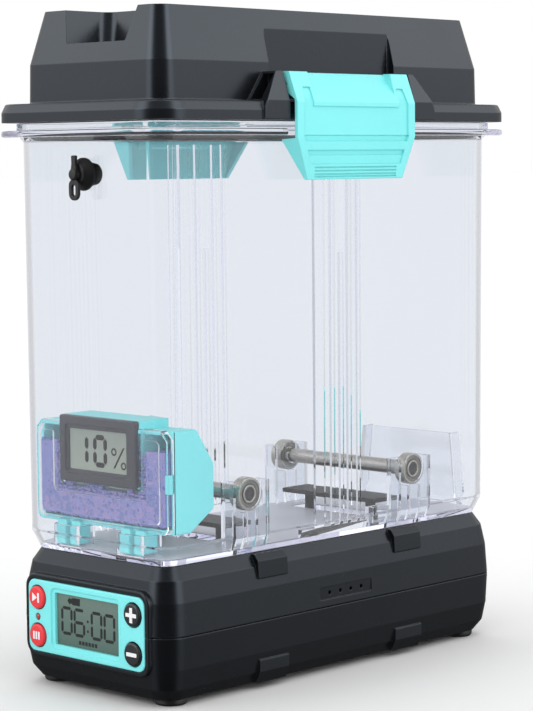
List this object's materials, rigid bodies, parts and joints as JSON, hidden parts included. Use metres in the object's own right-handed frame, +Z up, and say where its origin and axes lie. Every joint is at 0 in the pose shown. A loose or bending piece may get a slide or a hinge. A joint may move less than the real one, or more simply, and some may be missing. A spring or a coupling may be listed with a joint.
{
  "type": "filament dryer box",
  "caption": "Clear filament spool box with latched lid, bearing rollers and desiccant cartridge, standing on a heated dock with a display and buttons.",
  "frame": {"origin": "on the resting plane under the four feet, at the middle of the dock", "axes": "+Z up; the display and the hygrometer face -Y; X runs across the narrow width"},
  "size_m": [0.12, 0.24, 0.302],
  "materials": {
    "charcoal_plastic": "satin fine texture",
    "teal_plastic": "satin",
    "clear_plastic": "clear polycarbonate",
    "polished_steel": "polished",
    "black_rubber": "matte",
    "grey_case": "satin",
    "lcd": "grey-green display",
    "red_button": "satin",
    "black_button": "satin",
    "circuit_board": "solder mask",
    "silica_beads": "packed beads",
    "aluminium": "mill finish",
    "cable": "matte sheath"
  },
  "bodies": {
    "dock": {"dock_lower_shell": "charcoal_plastic", "dock_upper_shell": "charcoal_plastic", "display_bezel": "teal_plastic", "display_lcd": "lcd", "control_board": "circuit_board", "status_led": "red_button", "fan_frame": "charcoal_plastic", "heater_frame": "charcoal_plastic", "heater_core": "aluminium", "air_duct": "charcoal_plastic", "power_supply": "circuit_board", "power_inlet": "black_button", "power_cable": "cable", "ribbon_cable": "cable", "foot_front_left": "black_rubber", "foot_front_right": "black_rubber", "foot_rear_left": "black_rubber", "foot_rear_right": "black_rubber", "dock_screw_front_left": "polished_steel", "dock_screw_front_right": "polished_steel", "dock_screw_rear_left": "polished_steel", "dock_screw_rear_right": "polished_steel"},
    "fan": {"fan_impeller": "charcoal_plastic"},
    "start_key": {"start_button": "red_button"},
    "mode_key": {"mode_button": "red_button"},
    "plus_key": {"plus_button": "black_button"},
    "minus_key": {"minus_button": "black_button"},
    "box": {"box_body": "clear_plastic", "front_grommet": "black_rubber", "bearing_outer_front_left": "polished_steel", "bearing_outer_front_right": "polished_steel", "bearing_outer_rear_left": "polished_steel", "bearing_outer_rear_right": "polished_steel"},
    "front_roller": {"roller_shaft_front": "polished_steel", "bearing_inner_front_left": "polished_steel", "bearing_inner_front_right": "polished_steel"},
    "rear_roller": {"roller_shaft_rear": "polished_steel", "bearing_inner_rear_left": "polished_steel", "bearing_inner_rear_right": "polished_steel"},
    "valve_front": {"air_valve_front": "black_rubber"},
    "valve_rear": {"air_valve_rear": "black_rubber"},
    "front_stopper": {"front_plug": "black_rubber"},
    "cartridge": {"desiccant_tray": "teal_plastic", "desiccant_cover": "clear_plastic", "desiccant_beads": "silica_beads", "hygrometer_case": "grey_case", "hygrometer_lcd": "lcd", "hygrometer_board": "circuit_board", "coin_cell": "polished_steel"},
    "lid": {"lid_shell": "charcoal_plastic", "lid_seal": "black_rubber", "lid_grommet": "black_rubber", "latch_pin_left": "polished_steel", "latch_pin_right": "polished_steel"},
    "latch_l": {"latch_left": "teal_plastic"},
    "latch_r": {"latch_right": "teal_plastic"},
    "lid_stopper": {"lid_plug": "black_rubber"}
  },
  "joints": [
    {"name": "box_lift", "type": "slide", "parent": "dock", "child": "box", "axis": [0, 0, 1], "range_m": [0, 0.08]},
    {"name": "lid_lift", "type": "slide", "parent": "box", "child": "lid", "axis": [0, 0, 1], "range_m": [0, 0.08]},
    {"name": "latch_left_swing", "type": "hinge", "parent": "lid", "child": "latch_l", "pos_m": [-0.0518, 0, 0.2683], "axis": [0, 1, 0], "range_deg": [-3.5, 110]},
    {"name": "latch_right_swing", "type": "hinge", "parent": "lid", "child": "latch_r", "pos_m": [0.0518, 0, 0.2683], "axis": [0, -1, 0], "range_deg": [-3.5, 110]},
    {"name": "front_roller_spin", "type": "hinge", "parent": "box", "child": "front_roller", "pos_m": [0, -0.0557, 0.088], "axis": [1, 0, 0], "continuous": true},
    {"name": "rear_roller_spin", "type": "hinge", "parent": "box", "child": "rear_roller", "pos_m": [0, 0.0557, 0.088], "axis": [1, 0, 0], "continuous": true},
    {"name": "fan_spin", "type": "hinge", "parent": "dock", "child": "fan", "pos_m": [0, -0.034, 0.022], "axis": [0, 0, 1], "continuous": true},
    {"name": "start_press", "type": "slide", "parent": "dock", "child": "start_key", "axis": [0, 1, 0], "range_m": [0, 0.0008]},
    {"name": "mode_press", "type": "slide", "parent": "dock", "child": "mode_key", "axis": [0, 1, 0], "range_m": [0, 0.0008]},
    {"name": "plus_press", "type": "slide", "parent": "dock", "child": "plus_key", "axis": [0, 1, 0], "range_m": [0, 0.0008]},
    {"name": "minus_press", "type": "slide", "parent": "dock", "child": "minus_key", "axis": [0, 1, 0], "range_m": [0, 0.0008]},
    {"name": "cartridge_lift", "type": "slide", "parent": "box", "child": "cartridge", "axis": [0, 0, 1], "range_m": [0, 0.09]},
    {"name": "front_plug_pull", "type": "slide", "parent": "box", "child": "front_stopper", "axis": [0, -1, 0], "range_m": [0, 0.012]},
    {"name": "lid_plug_pull", "type": "slide", "parent": "lid", "child": "lid_stopper", "axis": [0, -1, 0], "range_m": [0, 0.008]},
    {"name": "front_valve_drop", "type": "slide", "parent": "box", "child": "valve_front", "axis": [0, 0, -1], "range_m": [0, 0.0068]},
    {"name": "rear_valve_drop", "type": "slide", "parent": "box", "child": "valve_rear", "axis": [0, 0, -1], "range_m": [0, 0.0068]}
  ],
  "couplings": [
    {"joint": "front_valve_drop", "follows": "box_lift", "ratio": 0.085},
    {"joint": "rear_valve_drop", "follows": "box_lift", "ratio": 0.085}
  ]
}
